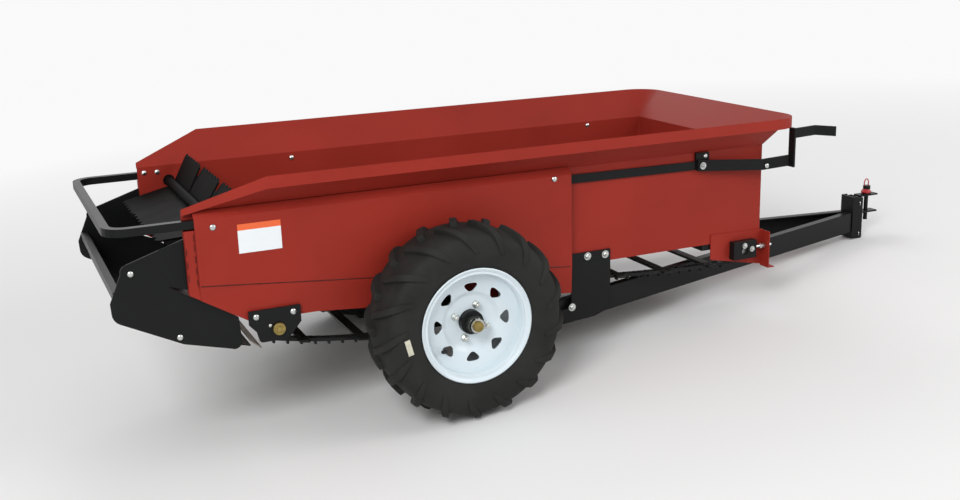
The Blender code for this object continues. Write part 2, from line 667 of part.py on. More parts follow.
# ---------------------------------------------------------------- wheels
def build_wheel(side, sign):
    centre = (0, sign * WHEEL_Y, WHEEL_RADIUS)

    def placed(profile):
        """A wheel profile, (radius, outwards from the tyre's centre plane), in its real place."""
        return [(r, sign * (WHEEL_Y + out)) for r, out in profile]

    half = TYRE_WIDTH / 2
    bead_r = RIM_BARREL_R + GAP
    bead_half = RIM_HALF_WIDTH - 0.004 - GAP
    tyre = [(bead_r, -bead_half), (RIM_FLANGE_R + 0.010, -bead_half), (0.200, -half * 0.95), (0.228, -half),
            (0.256, -half * 0.97), (0.276, -half * 0.86), (WHEEL_RADIUS, -half * 0.55),
            (WHEEL_RADIUS, half * 0.55), (0.276, half * 0.86), (0.256, half * 0.97),
            (0.228, half), (0.200, half * 0.95), (RIM_FLANGE_R + 0.010, bead_half), (bead_r, bead_half)]
    finish_mesh(f"tyre_{side}", turned(placed(tyre), 0, WHEEL_RADIUS, WHEEL_FACETS), RUBBER, origin=centre)

    lug_out = LUG_PLANE_Y - WHEEL_Y
    sheet = DISC_SHEET
    barrel = RIM_BARREL_R
    rim = [(RIM_FLANGE_R, RIM_HALF_WIDTH - 0.004), (RIM_FLANGE_R, RIM_HALF_WIDTH),
           (RIM_FLANGE_R - 0.004, RIM_HALF_WIDTH), (barrel - sheet, 0.078), (barrel - sheet, 0.050),
           (0.122, 0.050), (0.086, lug_out + 0.010), (0.074, lug_out), (0.0352, lug_out),
           (0.0352, lug_out - sheet), (0.075, lug_out - sheet), (0.088, lug_out + 0.010 - sheet),
           (0.122, 0.050 - sheet), (barrel - sheet, 0.036), (barrel - sheet, -0.078),
           (RIM_FLANGE_R - 0.004, -RIM_HALF_WIDTH), (RIM_FLANGE_R, -RIM_HALF_WIDTH),
           (RIM_FLANGE_R, -RIM_HALF_WIDTH + 0.004), (barrel, -RIM_HALF_WIDTH + 0.004),
           (barrel, RIM_HALF_WIDTH - 0.004)]
    wheel = finish_mesh(f"wheel_rim_{side}", turned(placed(rim), 0, WHEEL_RADIUS, WHEEL_FACETS), WHITE,
                        origin=centre)
    for i in range(WINDOW_COUNT):
        middle = math.radians(360 * i / WINDOW_COUNT)
        radial = Vector((math.cos(middle), math.sin(middle)))
        across = Vector((-radial.y, radial.x))
        outline = []
        for out, side_way in ((-0.0115, -0.006), (-0.0115, 0.006), (0.002, 0.0195), (0.009, 0.0200),
                              (0.0135, 0.0125), (0.0135, -0.0125), (0.009, -0.0200), (0.002, -0.0195)):
            point = radial * (WINDOW_PITCH_R + out) + across * side_way
            outline.append((point.x, WHEEL_RADIUS + point.y))
        low, high = sorted((sign * (WHEEL_Y + 0.01), sign * (WHEEL_Y + 0.08)))
        combine(wheel, f"window_{side}_{i}", plate(outline, low, high), "DIFFERENCE")
    tidy = wheel.modifiers.new("join_close_corners", "WELD")
    tidy.merge_threshold = 0.0003

    bore = AXLE_R + RUN_GAP
    hub = [(bore, LUG_PLANE_Y - 0.044), (0.066, LUG_PLANE_Y - 0.016), (0.066, LUG_PLANE_Y - sheet - GAP),
           (0.0345, LUG_PLANE_Y - sheet - GAP), (0.0345, LUG_PLANE_Y + 0.018), (0.0230, LUG_PLANE_Y + 0.020),
           (0.0230, LUG_PLANE_Y + 0.048), (bore, LUG_PLANE_Y + 0.048)]
    hub.insert(1, (0.040, LUG_PLANE_Y - 0.044))
    finish_mesh(f"wheel_hub_{side}", turned([(r, sign * y) for r, y in hub], 0, WHEEL_RADIUS, 32), BLACK,
                origin=centre)


finish_mesh("axle", rod(0, WHEEL_RADIUS, AXLE_R, -AXLE_HALF_LENGTH, AXLE_HALF_LENGTH), STEEL)
build_front_panel()
build_floor()
build_pan()
build_guard()
build_beater()
build_apron_run("apron_upper_run", upper_line(), UPPER_SLATS, 1)
build_apron_run("apron_lower_run", lower_line(), LOWER_SLATS, -1)
build_apron_shaft("rear", REAR_SHAFT_X)
build_apron_shaft("front", FRONT_SHAFT_X)
build_hitch()
build_lever()
for side_name, side_sign in SIDES.items():
    for build in (build_tub_side, build_housing, build_rear_post, build_side_plate, build_beater_bearing,
                  build_shaft_bracket, build_axle_bracket, build_frame_bracket, build_flap_bracket,
                  build_tensioner, build_rail, build_wheel):
        build(side_name, side_sign)
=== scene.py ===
"""Looks of a compact towed manure spreader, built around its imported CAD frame.

Pieces are laid out level, as the machine is towed, and `parked` tips them about the axle with the frame.
Metres; +X towards the hitch, -Y the right side, +Z up.
"""

import json
import math

import bmesh
import bpy
import numpy as np
from mathutils import Matrix, Vector


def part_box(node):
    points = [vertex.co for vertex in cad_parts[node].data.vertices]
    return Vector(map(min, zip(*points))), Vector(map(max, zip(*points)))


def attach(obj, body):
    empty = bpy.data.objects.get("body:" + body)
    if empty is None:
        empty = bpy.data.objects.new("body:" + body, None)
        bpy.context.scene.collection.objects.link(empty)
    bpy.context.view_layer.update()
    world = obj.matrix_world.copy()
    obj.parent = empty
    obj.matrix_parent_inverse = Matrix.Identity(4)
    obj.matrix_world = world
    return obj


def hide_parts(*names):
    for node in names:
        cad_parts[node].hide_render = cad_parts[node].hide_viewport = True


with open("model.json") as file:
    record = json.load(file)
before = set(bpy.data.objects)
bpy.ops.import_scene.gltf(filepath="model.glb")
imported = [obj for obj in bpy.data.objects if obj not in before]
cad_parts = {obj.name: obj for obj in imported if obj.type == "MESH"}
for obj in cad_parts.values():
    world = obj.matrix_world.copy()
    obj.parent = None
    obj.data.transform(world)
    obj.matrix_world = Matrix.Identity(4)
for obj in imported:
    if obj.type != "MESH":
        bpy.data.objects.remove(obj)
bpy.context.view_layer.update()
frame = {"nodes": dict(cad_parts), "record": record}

MOUNTS = {mount["name"]: mount for mount in frame["record"]["mounts"]}
JOINTS = {joint["name"]: joint for joint in frame["record"]["behaviour"]["joints"]}
WHEEL_RADIUS = JOINTS["wheel_right_spin"]["pos_m"][2]
WHEEL_Y = JOINTS["wheel_left_spin"]["pos_m"][1]
floor_normal = MOUNTS["load_floor"]["axis"]
TILT = math.atan2(floor_normal[0], floor_normal[2])
AXLE = Vector((0, 0, WHEEL_RADIUS))
parked = Matrix.Translation(AXLE) @ Matrix.Rotation(TILT, 4, "Y") @ Matrix.Translation(-AXLE)
SIDES = {"right": -1, "left": 1}
MOUNTS_LEVEL = {name: parked.inverted() @ Vector(mount["pos_m"]) for name, mount in MOUNTS.items()}


# ---------------------------------------------------------------- materials
def surface(name, color, roughness, metallic=0.0, shade=0.75, patch=3.0, grain=350.0, bump=0.05,
            bump_depth=0.0004, round_edges=0.0, reflect=0.5):
    """A Principled material whose colour and gloss drift in patches, over a fine bumpy grain."""
    made = bpy.data.materials.new(name)
    made.use_nodes = True
    nodes, links = made.node_tree.nodes, made.node_tree.links
    shader = nodes["Principled BSDF"]
    shader.inputs["Metallic"].default_value = metallic
    shader.inputs["Specular IOR Level"].default_value = reflect
    place = nodes.new("ShaderNodeTexCoord")

    drift = nodes.new("ShaderNodeTexNoise")
    drift.inputs["Scale"].default_value = patch
    drift.inputs["Detail"].default_value = 6
    links.new(place.outputs["Object"], drift.inputs["Vector"])
    ramp = nodes.new("ShaderNodeValToRGB")
    ramp.color_ramp.elements[0].position = 0.3
    ramp.color_ramp.elements[0].color = (*[c * shade for c in color], 1)
    ramp.color_ramp.elements[1].position = 0.65
    ramp.color_ramp.elements[1].color = (*color, 1)
    links.new(drift.outputs["Fac"], ramp.inputs["Fac"])
    links.new(ramp.outputs["Color"], shader.inputs["Base Color"])

    gloss = nodes.new("ShaderNodeMapRange")
    gloss.inputs["To Min"].default_value = roughness * 0.85
    gloss.inputs["To Max"].default_value = min(1.0, roughness * 1.2)
    links.new(drift.outputs["Fac"], gloss.inputs["Value"])
    links.new(gloss.outputs["Result"], shader.inputs["Roughness"])

    fine = nodes.new("ShaderNodeTexNoise")
    fine.inputs["Scale"].default_value = grain
    fine.inputs["Detail"].default_value = 3
    links.new(place.outputs["Object"], fine.inputs["Vector"])
    relief = nodes.new("ShaderNodeBump")
    relief.inputs["Strength"].default_value = bump
    relief.inputs["Distance"].default_value = bump_depth
    links.new(fine.outputs["Fac"], relief.inputs["Height"])
    if round_edges:
        edge = nodes.new("ShaderNodeBevel")
        edge.inputs["Radius"].default_value = round_edges
        links.new(edge.outputs["Normal"], relief.inputs["Normal"])
    links.new(relief.outputs["Normal"], shader.inputs["Normal"])
    return made


RED = surface("red_powder_coat", (0.300, 0.025, 0.015), 0.50, shade=0.84, bump=0.10, reflect=0.16)
BLACK = surface("black_powder_coat", (0.0075, 0.0078, 0.0080), 0.34, bump=0.15, round_edges=0.0015, reflect=0.16)
WHITE = surface("white_enamel", (0.66, 0.745, 0.79), 0.24, shade=0.95, bump=0.05, reflect=0.35)
RUBBER = surface("tyre_rubber", (0.021, 0.0215, 0.0200), 0.70, shade=0.62, patch=14, grain=420, bump=0.5,
                 reflect=0.18)
BEATER_BLACK = surface("worn_black", (0.0055, 0.0055, 0.0055), 0.62, shade=0.5, patch=18, grain=160, bump=0.4,
                       reflect=0.04)
STEEL = surface("bare_steel", (0.42, 0.41, 0.40), 0.42, metallic=1.0, shade=0.6, patch=14, bump=0.2)
EDGE_STEEL = surface("worn_strip", (0.36, 0.31, 0.28), 0.55, metallic=0.3, shade=0.5, patch=20, bump=0.3)
HUB_STEEL = surface("oiled_steel", (0.085, 0.085, 0.075), 0.35, metallic=0.9, shade=0.5, patch=40, bump=0.2)
ZINC = surface("zinc_plate", (0.62, 0.64, 0.62), 0.28, metallic=1.0, patch=30, bump=0.1)
YELLOW_ZINC = surface("yellow_zinc", (0.36, 0.27, 0.09), 0.36, metallic=1.0, shade=0.5, patch=60, bump=0.3)
CHAIN = surface("chain_steel", (0.018, 0.018, 0.018), 0.42, metallic=0.3, shade=0.5, patch=25, bump=0.4,
                reflect=0.2)
WOOD = surface("floor_board", (0.16, 0.12, 0.085), 0.75, shade=0.6, patch=16, grain=120, bump=0.4)
PIN_RED = surface("pin_red", (0.45, 0.02, 0.025), 0.3, reflect=0.4)
# Dark red of the weld runs; the same colour is also painted shade on the strip along the housing's crease.
WELD_AND_CREASE_SHADE = surface("weld_bead_and_crease_shade", (0.115, 0.012, 0.008), 0.45, shade=0.5, patch=60, grain=200, bump=0.6, reflect=0.2)
LABEL_WHITE = surface("label_white", (0.78, 0.82, 0.84), 0.35, shade=0.95, bump=0.02)
LABEL_ORANGE = surface("label_orange", (0.80, 0.13, 0.030), 0.35, shade=0.92, bump=0.02)
TAG = surface("paper_tag", (0.62, 0.60, 0.48), 0.6, shade=0.8, patch=60, bump=0.1)
SLOT_LOOK = {"red_paint": RED, "black_paint": BLACK, "bright_steel": STEEL, "white_paint": WHITE,
             "tyre_rubber": RUBBER, "pin_red": PIN_RED, "floor_wood": WOOD}
NODE_LOOK = {"pan_front_strip": EDGE_STEEL, "hitch_pin": BLACK, "apron_shaft_rear": YELLOW_ZINC,
             "axle": YELLOW_ZINC, "beater_shaft": BEATER_BLACK}

for subpart in frame["record"]["subparts"]:
    cad = frame["nodes"][subpart["node"]]
    look = NODE_LOOK.get(subpart["node"], SLOT_LOOK[subpart["material_slot"]])
    for place in cad.material_slots:
        place.material = look


# ---------------------------------------------------------------- mesh helpers
def piece(name, bm, look, body="chassis", round_off=0.0, smooth=35):
    """Tip a level bmesh into the parked pose and make it a piece that rides on `body`."""
    bmesh.ops.recalc_face_normals(bm, faces=bm.faces)
    bmesh.ops.transform(bm, matrix=parked, verts=bm.verts)
    mesh = bpy.data.meshes.new(name)
    bm.to_mesh(mesh)
    bm.free()
    mesh.materials.append(look)
    mesh.shade_smooth()
    mesh.set_sharp_from_angle(angle=math.radians(smooth))
    made = bpy.data.objects.new(name, mesh)
    bpy.context.collection.objects.link(made)
    if round_off:
        bevel = made.modifiers.new("round_off", "BEVEL")
        bevel.width = round_off
        bevel.segments = 2
        bevel.angle_limit = math.radians(40)
    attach(made, body)
    return made


def skin(bm, sections, closed=False):
    """Skin equal-length closed outlines into `bm`; ends are capped unless the skin closes on itself."""
    rings = [[bm.verts.new(point) for point in section] for section in sections]
    pairs = list(zip(rings, rings[1:])) + ([(rings[-1], rings[0])] if closed else [])
    count = len(rings[0])
    for first, second in pairs:
        for i in range(count):
            j = (i + 1) % count
            bm.faces.new((first[i], first[j], second[j], second[i]))
    if not closed:
        bm.faces.new(rings[0])
        bm.faces.new(list(reversed(rings[-1])))


def turn(bm, profile, base, axis, segments):
    """Turn an outline of (radius, height) about `axis` from `base`; zero radius points become small holes."""
    axis = Vector(axis).normalized()
    side = axis.orthogonal().normalized()
    other = axis.cross(side)
    sections = []
    for i in range(segments):
        angle = 2 * math.pi * i / segments
        out = side * math.cos(angle) + other * math.sin(angle)
        sections.append([Vector(base) + axis * height + out * r for r, height in profile])
    skin(bm, sections, closed=True)


def prism(bm, base, axis, radius, height, sides, top=1.0):
    """A solid bar or hexagon along `axis`, whose far end is `top` times as wide."""
    axis = Vector(axis).normalized()
    side = axis.orthogonal().normalized()
    other = axis.cross(side)
    turns = [2 * math.pi * i / sides for i in range(sides)]
    skin(bm, [[Vector(base) + axis * h + (side * math.cos(a) + other * math.sin(a)) * r for a in turns]
              for r, h in ((radius, 0.0), (radius, height * 0.85), (radius * top, height))])


def carriage_head(bm, base, axis, radius):
    """A low domed bolt head with its square edge on the sheet."""
    axis = Vector(axis).normalized()
    side = axis.orthogonal().normalized()
    other = axis.cross(side)
    steps = ((1.0, 0.0), (1.0, 0.10), (0.90, 0.26), (0.66, 0.42), (0.34, 0.52), (0.08, 0.55))
    skin(bm, [[Vector(base) + axis * radius * h
               + (side * math.cos(a) + other * math.sin(a)) * radius * r
               for a in np.linspace(0, 2 * math.pi, 20, endpoint=False)] for r, h in steps])


def hex_bolt(bm, base, axis, radius):
    """A washer, a hexagon head and the end of the thread."""
    axis = Vector(axis).normalized()
    prism(bm, base, axis, radius * 1.45, radius * 0.22, 24)
    prism(bm, Vector(base) + axis * radius * 0.22, axis, radius, radius * 0.85, 6, top=0.86)
    prism(bm, Vector(base) + axis * radius, axis, radius * 0.5, radius * 0.55, 16, top=0.7)


def smooth_outline(points, steps):
    """A closed Catmull-Rom curve through `points`, with `steps` points for each span."""
    curve = []
    count = len(points)
    for i in range(count):
        p0, p1, p2, p3 = (np.array(points[(i + k) % count]) for k in (-1, 0, 1, 2))
        for t in np.linspace(0, 1, steps, endpoint=False):
            curve.append(tuple(0.5 * (2 * p1 + (p2 - p0) * t + (2 * p0 - 5 * p1 + 4 * p2 - p3) * t * t
                                      + (3 * p1 - 3 * p2 + p3 - p0) * t ** 3)))
    return curve


def outer_face(node):
    """How far from the middle plane a node reaches."""
    low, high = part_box(node)
    return max(abs(low[1]), abs(high[1]))


# ---------------------------------------------------------------- wheels
TYRE_HALF = 0.101
LUG_COUNT = 17
LUG_SWEEP = -0.27
LUG_DEPTH = 0.015
RIM_EDGE_R = 0.168
RIM_BARREL_R = 0.150
RIM_HALF = 0.091
DISC_SHEET = 0.004
LUG_PLANE = 0.034
WINDOW_COUNT = 8
WINDOW_PITCH_R = 0.102
NUT_CIRCLE_R = 0.0508
NUT_PHASE = math.radians(67.5)
# one window: (outwards from its pitch circle, along the circle)
WINDOW_SHAPE = [(0.0130, -0.0130), (0.0140, 0.0), (0.0130, 0.0130), (0.0085, 0.0195), (0.0020, 0.0185),
                (-0.0060, 0.0115), (-0.0118, 0.0045), (-0.0118, -0.0045), (-0.0060, -0.0115),
                (0.0020, -0.0185), (0.0085, -0.0195)]


def build_tyre(side, sign):
    bm = bmesh.new()
    tread_r = WHEEL_RADIUS - LUG_DEPTH
    # columns: radius, distance from the tyre's centre plane
    half = [(0.152, 0.060), (0.154, 0.084), (0.171, 0.087), (0.176, 0.090), (0.200, 0.0985), (0.226, 0.1005),
            (0.248, 0.0950), (0.262, 0.0800), (tread_r - 0.002, 0.0400)]
    outline = [(r, -out) for r, out in half] + [(tread_r, 0.0)] + [(r, out) for r, out in reversed(half)]
    profile = [(r, sign * out) for r, out in smooth_outline(outline, 3)]
    centre = (0, sign * WHEEL_Y, WHEEL_RADIUS)
    turn(bm, profile, centre, (0, 1, 0), 144)
    # columns: distance from the centre plane, outer radius, width along the tread
    stations = [(0.003, WHEEL_RADIUS, 0.027), (0.030, WHEEL_RADIUS - 0.0005, 0.026),
                (0.055, WHEEL_RADIUS - 0.003, 0.026), (0.077, WHEEL_RADIUS - 0.009, 0.028),
                (0.092, WHEEL_RADIUS - 0.020, 0.031), (0.1002, WHEEL_RADIUS - 0.036, 0.030),
                (0.1045, WHEEL_RADIUS - 0.054, 0.024), (0.1030, WHEEL_RADIUS - 0.074, 0.015)]
    for hand in (-1, 1):
        for i in range(LUG_COUNT):
            start = 2 * math.pi * (i + (0.5 if hand > 0 else 0.0)) / LUG_COUNT
            sections = []
            for k, (out, top_r, width) in enumerate(stations):
                t = k / (len(stations) - 1)
                middle = start + LUG_SWEEP * t ** 1.1
                low_r = top_r - (LUG_DEPTH + 0.004) * (1 - t * t)
                low_out = out - 0.006 - 0.008 * t
                corners = []
                for r, lateral, share in ((low_r, low_out, -1), (top_r, out, -0.72),
                                          (top_r, out, 0.72), (low_r, low_out, 1)):
                    angle = middle + share * width / 2 / top_r
                    corners.append((r * math.cos(angle), sign * WHEEL_Y + hand * lateral,
                                    WHEEL_RADIUS + r * math.sin(angle)))
                sections.append(corners)
            skin(bm, sections)
    tyre = piece(f"treaded_tyre_{side}", bm, RUBBER, f"wheel_{side}", round_off=0.0015, smooth=32)
    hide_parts(f"tyre_{side}")


def build_rim(side, sign):
    rim = [(RIM_EDGE_R - 0.002, RIM_HALF - 0.005), (RIM_EDGE_R, RIM_HALF - 0.002),
           (RIM_EDGE_R - 0.003, RIM_HALF), (RIM_EDGE_R - 0.008, RIM_HALF - 0.003),
           (RIM_BARREL_R - 0.002, 0.080), (RIM_BARREL_R - DISC_SHEET, 0.074), (RIM_BARREL_R - DISC_SHEET, 0.052),
           (0.140, 0.051), (0.122, 0.050), (0.116, 0.0485), (0.092, LUG_PLANE + 0.0115),
           (0.086, LUG_PLANE + 0.008), (0.078, LUG_PLANE + 0.001), (0.072, LUG_PLANE), (0.0352, LUG_PLANE),
           (0.0352, LUG_PLANE - DISC_SHEET), (0.073, LUG_PLANE - DISC_SHEET),
           (0.088, LUG_PLANE + 0.010 - DISC_SHEET), (0.122, 0.050 - DISC_SHEET),
           (RIM_BARREL_R - DISC_SHEET, 0.038), (RIM_BARREL_R - DISC_SHEET, -0.078),
           (RIM_EDGE_R - 0.003, -RIM_HALF), (RIM_EDGE_R, -RIM_HALF + 0.004),
           (RIM_BARREL_R, -RIM_HALF + 0.006), (RIM_BARREL_R, RIM_HALF - 0.006)]
    centre = (0, sign * WHEEL_Y, WHEEL_RADIUS)
    bm = bmesh.new()
    turn(bm, [(r, sign * out) for r, out in rim], centre, (0, 1, 0), 120)
    made = piece(f"wheel_disc_{side}", bm, WHITE, f"wheel_{side}", smooth=40)
    cutter = bmesh.new()
    for i in range(WINDOW_COUNT):
        middle = 2 * math.pi * i / WINDOW_COUNT
        radial = Vector((math.cos(middle), 0, math.sin(middle)))
        across = Vector((-radial.z, 0, radial.x))
        outline = [AXLE + radial * (WINDOW_PITCH_R + up) + across * along
                   for up, along in smooth_outline(WINDOW_SHAPE, 4)]
        skin(cutter, [[point + Vector((0, sign * (WHEEL_Y + out), 0)) for point in outline]
                      for out in (0.010, 0.080)])
    bmesh.ops.recalc_face_normals(cutter, faces=cutter.faces)
    bmesh.ops.transform(cutter, matrix=parked, verts=cutter.verts)
    mesh = bpy.data.meshes.new(f"windows_{side}")
    cutter.to_mesh(mesh)
    cutter.free()
    tool = bpy.data.objects.new(f"windows_{side}", mesh)
    bpy.context.collection.objects.link(tool)
    cut = made.modifiers.new("windows", "BOOLEAN")
    cut.object = tool
    cut.solver = "EXACT"
    with bpy.context.temp_override(object=made, active_object=made):
        bpy.ops.object.modifier_apply(modifier=cut.name)
    bpy.data.objects.remove(tool)
    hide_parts(f"wheel_rim_{side}")


def build_hub_fittings(side, sign):
    outwards = (0, sign, 0)
    bm = bmesh.new()
    for i in range(4):
        angle = NUT_PHASE + math.pi / 2 * i
        base = Vector((NUT_CIRCLE_R * math.cos(angle), sign * (WHEEL_Y + LUG_PLANE),
                       WHEEL_RADIUS + NUT_CIRCLE_R * math.sin(angle)))
        prism(bm, base, outwards, 0.0115, 0.004, 20, top=0.9)
        prism(bm, base + Vector(outwards) * 0.004, outwards, 0.0100, 0.010, 6, top=0.86)
        prism(bm, base + Vector(outwards) * 0.014, outwards, 0.0058, 0.006, 16, top=0.8)
    piece(f"lug_nuts_{side}", bm, ZINC, f"wheel_{side}")
    end_y = outer_face("axle")
    bm = bmesh.new()
    prism(bm, (0, sign * end_y, WHEEL_RADIUS), outwards, 0.0148, 0.0030, 32, top=0.86)
    piece(f"axle_end_{side}", bm, YELLOW_ZINC)
    bm = bmesh.new()
    turn(bm, [(0.0157, 0.0), (0.0205, 0.0), (0.0205, 0.0014), (0.0157, 0.0014)],
         (0, sign * (end_y - 0.0065), WHEEL_RADIUS), outwards, 40)
    for lug in (-1, 1):
        turn(bm, [(0.0010, 0.0), (0.0026, 0.0), (0.0026, 0.0022), (0.0010, 0.0022)],
             (lug * 0.0040, sign * (end_y - 0.0072), WHEEL_RADIUS + 0.0205), outwards, 12)
    piece(f"snap_ring_{side}", bm, ZINC)
    hub_y = outer_face(f"wheel_hub_{side}")
    bm = bmesh.new()
    turn(bm, [(0.0232, 0.0), (0.0242, 0.0), (0.0242, 0.0230), (0.0232, 0.0240)],
         (0, sign * (hub_y - 0.0245), WHEEL_RADIUS), outwards, 48)
    turn(bm, [(0.0168, 0.0), (0.0238, 0.0), (0.0230, 0.0012), (0.0168, 0.0012)],
         (0, sign * (hub_y + 0.0002), WHEEL_RADIUS), outwards, 48)
    piece(f"hub_sleeve_{side}", bm, HUB_STEEL, f"wheel_{side}")
    bm = bmesh.new()
    stem = Vector((-0.084, sign * 0.556, 0.212))
    lean = Vector((-0.50, sign * 0.80, 0.32)).normalized()
    prism(bm, stem, lean, 0.0062, 0.013, 16, top=0.75)
    prism(bm, stem + lean * 0.013, lean, 0.0044, 0.017, 14, top=0.9)
    prism(bm, stem + lean * 0.030, lean, 0.0050, 0.010, 14, top=0.8)
    piece(f"valve_stem_{side}", bm, RUBBER, f"wheel_{side}")


def build_tyre_tag():
    """A blank paper tag on the right tyre's sidewall."""
    bm = bmesh.new()
    middle = Vector((-0.2110, 0, 0.2630))
    along = Vector((0.24, 0, -0.97))
    across = Vector((0.97, 0, 0.24))
    corners = [middle + along * (0.023 * a) + across * (0.008 * b) for a, b in ((-1, -1), (1, -1), (1, 1), (-1, 1))]
    skin(bm, [[corner + Vector((0, -y, 0)) for corner in corners] for y in (0.6110, 0.6128)])
    piece("tyre_tag", bm, TAG, "wheel_right")


# ---------------------------------------------------------------- bolts, label and small fittings
def build_bolts(side, sign):
    out = (0, sign, 0)
    housing = outer_face(f"drive_housing_{side}")
    plate_face = outer_face(f"rear_side_plate_{side}")
    bracket = outer_face(f"frame_bracket_{side}")
    domes = bmesh.new()
    for x, z in ((-0.669, 0.616), (0.352, 0.632)):
        carriage_head(domes, (x, sign * housing, z), out, 0.0090)
    for x, z in ((-0.888, 0.514), (-0.778, 0.321)):
        carriage_head(domes, (x, sign * plate_face, z), out, 0.0085)
    hexes = bmesh.new()
    for x, z in ((0.476, 0.371), (0.539, 0.369), (0.420, 0.2136)):
        hex_bolt(hexes, (x, sign * bracket, z), out, 0.0085)
    apron = outer_face(f"apron_shaft_bracket_{side}")
    carriage_head(domes, (-0.538, sign * apron, 0.322), out, 0.0050)
    for x, z in ((-0.575, 0.352), (-0.471, 0.3525)):
        carriage_head(domes, (x, sign * apron, z), out, 0.0090)
    tension = outer_face(f"chain_tensioner_{side}")
    for x, z in ((1.057, 0.330), (1.087, 0.316)):
        hex_bolt(hexes, (x, sign * tension, z), out, 0.0065)
    piece(f"carriage_bolts_{side}", domes, ZINC)
    piece(f"hex_bolts_{side}", hexes, ZINC)
    inside = bmesh.new()
    wall = 0.373
    for x, z in ((-0.237, 0.637), (0.9095, 0.642), (-0.724, 0.637), (-0.683, 0.636), (-0.683, 0.5705)):
        carriage_head(inside, (x, sign * wall, z), (0, -sign, 0), 0.0085)
    piece(f"tub_bolts_{side}", inside, ZINC)
    bush = bmesh.new()
    shaft_end = outer_face("apron_shaft_rear")
    prism(bush, (-0.515, sign * (shaft_end - 0.008), 0.311), out, 0.0178, 0.0095, 32, top=0.94)
    piece(f"shaft_bush_{side}", bush, YELLOW_ZINC)
    screw = bmesh.new()
    prism(screw, (-0.515, sign * (shaft_end + 0.0015), 0.311), out, 0.0080, 0.0040, 6, top=0.8)
    piece(f"shaft_screw_{side}", screw, YELLOW_ZINC)
    draw = bmesh.new()
    prism(draw, (1.105, sign * 0.400, 0.320), (1, 0, 0), 0.0050, 0.062, 16, top=0.8)
    prism(draw, (1.118, sign * 0.400, 0.320), (1, 0, 0), 0.0090, 0.008, 6)
    prism(draw, (1.130, sign * 0.400, 0.320), (1, 0, 0), 0.0090, 0.008, 6)
    piece(f"tension_rod_{side}", draw, ZINC)


def build_label(side, sign):
    """A blank white label with a coloured header, on the drive housing."""
    face = outer_face(f"drive_housing_{side}")
    for name, z_low, z_high, look in (("label_body", 0.535, 0.598, LABEL_WHITE),
                                      ("label_header", 0.598, 0.615, LABEL_ORANGE)):
        bm = bmesh.new()
        corners = ((-0.605, z_low), (-0.487, z_low), (-0.487, z_high), (-0.605, z_high))
        skin(bm, [[(x, sign * (face + lift), z) for x, z in corners] for lift in (0.0001, 0.0006)])
        piece(f"{name}_{side}", bm, look)


def build_crease_shade_and_welds(side, sign):
    """A dark strip of painted shade along the fold at the housing's foot, and short weld runs on the strip behind
    it.
    """
    face = outer_face(f"drive_housing_{side}")
    # This dark strip is painted shade: it draws the shade of the crease along the housing's fold.
    fold = bmesh.new()
    # columns: x, height of the fold
    line = ((-0.714, 0.4585), (-0.590, 0.4470), (-0.400, 0.4280), (0.405, 0.3530))
    skin(fold, [[(x, sign * (face + proud), z + up)
                 for proud, up in ((-0.0006, 0.0030), (0.0011, 0.0005), (0.0004, -0.0012), (-0.0010, -0.0024))]
                for x, z in line])
    piece(f"housing_crease_shade_{side}", fold, WELD_AND_CREASE_SHADE)
    post = outer_face(f"rear_post_{side}")
    beads = bmesh.new()
    for x, steps in ((-0.7425, (0.484, 0.520, 0.556)), (-0.7205, (0.470, 0.502, 0.534, 0.566, 0.592))):
        for z in steps:
            skin(beads, [[(x + 0.0016 * math.cos(a), sign * (post - 0.0004 + 0.0018 * max(0.0, math.sin(a))), z + up)
                          for a in np.linspace(0, 2 * math.pi, 8, endpoint=False)]
                         for up in (-0.009, 0.009)])
    piece(f"post_welds_{side}", beads, WELD_AND_CREASE_SHADE)


def build_lever_bolts():
    pivot = outer_face("lever_pivot_bracket")
    arm = outer_face("clutch_lever_arm")
    bm = bmesh.new()
    carriage_head(bm, (0.908, -pivot, 0.6426), (0, -1, 0), 0.0075)
    hex_bolt(bm, (0.892, -(pivot + 0.0105), 0.6138), (0, -1, 0), 0.0080)
    carriage_head(bm, (0.890, -0.3765, 0.6690), (0, -1, 0), 0.0070)
    carriage_head(bm, (1.125, -(arm - 0.0170), 0.5930), (0, -1, 0), 0.0085)
    piece("lever_bolts", bm, ZINC)


def build_hitch_bolts():
    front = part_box("hitch_bracket")[1][0]
    bm = bmesh.new()
    for z, across in ((0.3000, -0.0240), (0.1800, -0.0240)):
        hex_bolt(bm, (front - 0.0115, across, z), (1, 0, 0), 0.0085)
    piece("hitch_bolts", bm, ZINC)


def build_pin_handle():
    """Domed red handle on the hitch pin, with its lifting loop."""
    low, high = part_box("hitch_pin")
    head = parked.inverted() @ Vector(((low[0] + high[0]) / 2, 0, high[2]))
    pin_x = head.x
    base = MOUNTS_LEVEL["drawbar_pin"].z + 0.033
    bm = bmesh.new()
    turn(bm, [(0.0004, 0.0), (0.0110, 0.0), (0.0190, 0.0035), (0.0195, 0.0080), (0.0150, 0.0145),
              (0.0100, 0.0200), (0.0090, 0.0260), (0.0004, 0.0270)], (pin_x, 0, base + 0.0010), (0, 0, 1), 40)
    piece("pin_handle", bm, PIN_RED)
    bm = bmesh.new()
    rings = []
    for a in np.linspace(0, 2 * math.pi, 44, endpoint=False):
        middle = Vector((pin_x + 0.0105 * math.cos(a), 0, base + 0.0400 + 0.0180 * math.sin(a)))
        out = Vector((math.cos(a), 0, math.sin(a)))
        rings.append([middle + out * 0.0021 * math.cos(b) + Vector((0, 0.0021 * math.sin(b), 0))
                      for b in np.linspace(0, 2 * math.pi, 10, endpoint=False)])
    skin(bm, rings, closed=True)
    piece("pin_loop", bm, PIN_RED)


